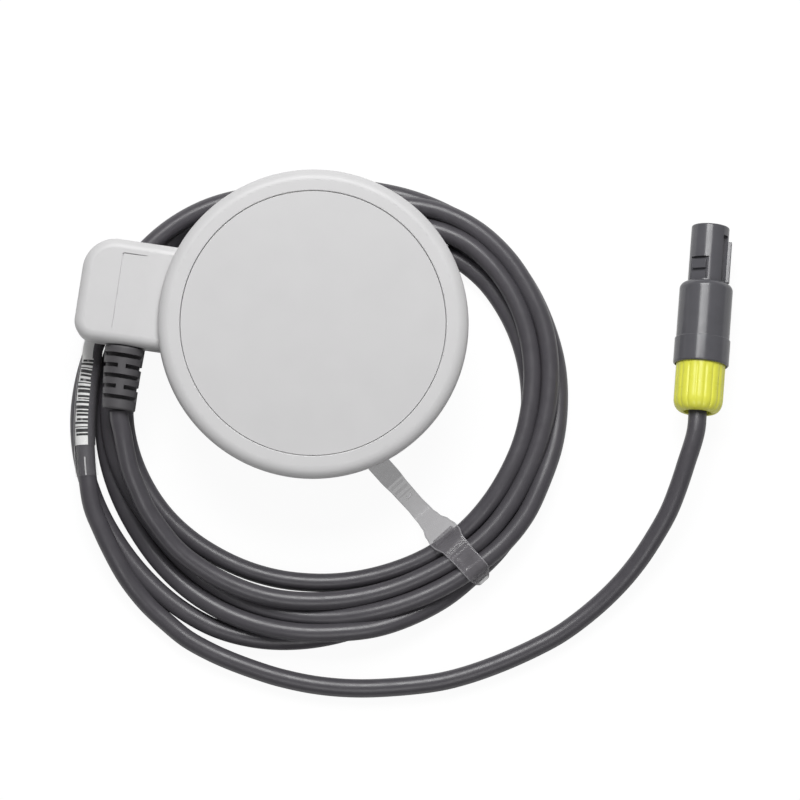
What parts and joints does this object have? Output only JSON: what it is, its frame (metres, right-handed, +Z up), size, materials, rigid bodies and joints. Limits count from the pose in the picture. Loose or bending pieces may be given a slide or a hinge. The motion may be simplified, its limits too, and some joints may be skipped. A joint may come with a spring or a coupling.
{
  "type": "fetal monitor transducer",
  "caption": "Round ultrasound probe with a belt stud on its back and a cable housing at its side, its lead coiled, strapped and ending in a push-pull plug.",
  "frame": {"origin": "centre of the belt stud's flat end, on the surface that the probe stands on", "axes": "+Z up through the centre of the contact face; -X towards the cable housing; -Y the way the cable leaves it"},
  "size_m": [0.1695, 0.1362, 0.029],
  "materials": {
    "casing": "satin moulded light grey ABS",
    "window": "satin light grey, very finely textured",
    "stud": "satin light grey",
    "seal": "matt black silicone",
    "steel": "bright machined",
    "carrier": "matt off-white",
    "ceramic": "fired piezo ceramic, slightly glossy",
    "foam": "matt dark foam",
    "board": "green solder mask",
    "tinplate": "bright tinplate",
    "chip": "matt black moulding",
    "boot": "satin dark grey elastomer",
    "inner_lead": "satin grey",
    "clamp": "matt dark nylon",
    "cable": "satin dark grey jacket",
    "label": "smooth white film with plain dark bars",
    "clear": "clear glossy shrunk sleeve",
    "strap": "milky translucent plastic",
    "plug": "glossy dark grey",
    "nut": "glossy yellow-green",
    "collet": "matt off-white",
    "insert": "matt black",
    "gold": "gold plated"
  },
  "bodies": {
    "root": {"front_shell": "casing", "rear_shell": "casing", "face_plate": "window", "belt_stud": "stud", "seal_ring": "seal", "stud_screw": "steel", "shell_screw_1": "steel", "shell_screw_2": "steel", "shell_screw_3": "steel", "shell_screw_4": "steel", "board_screw_1": "steel", "board_screw_2": "steel", "board_screw_3": "steel", "clamp_screw_1": "steel", "clamp_screw_2": "steel", "crystal_carrier": "carrier", "crystal_1": "ceramic", "crystal_2": "ceramic", "crystal_3": "ceramic", "crystal_4": "ceramic", "crystal_5": "ceramic", "crystal_6": "ceramic", "crystal_7": "ceramic", "backing_foam": "foam", "circuit_board": "board", "shield_can": "tinplate", "amplifier_chip": "chip", "board_header": "chip", "strain_relief": "boot", "inner_lead": "inner_lead", "cable_clamp": "clamp", "cable_lead": "cable", "cable_coil": "cable", "cable_tail": "cable", "cable_label": "label", "label_sleeve": "clear", "cable_strap": "strap", "latch_body": "plug", "collet_nut": "nut", "cable_collet": "collet", "contact_insert": "insert", "contact_pin_1": "gold", "contact_pin_2": "gold", "contact_pin_3": "gold", "contact_pin_4": "gold", "contact_pin_5": "gold", "contact_pin_6": "gold"},
    "release_sleeve": {"release_sleeve": "plug"}
  },
  "joints": [
    {"name": "sleeve_slide", "type": "slide", "parent": "root", "child": "release_sleeve", "axis": [0.0658, -0.9905, 0.1211], "range_m": [0, 0.0012], "stiffness_N_per_m": 2000}
  ]
}
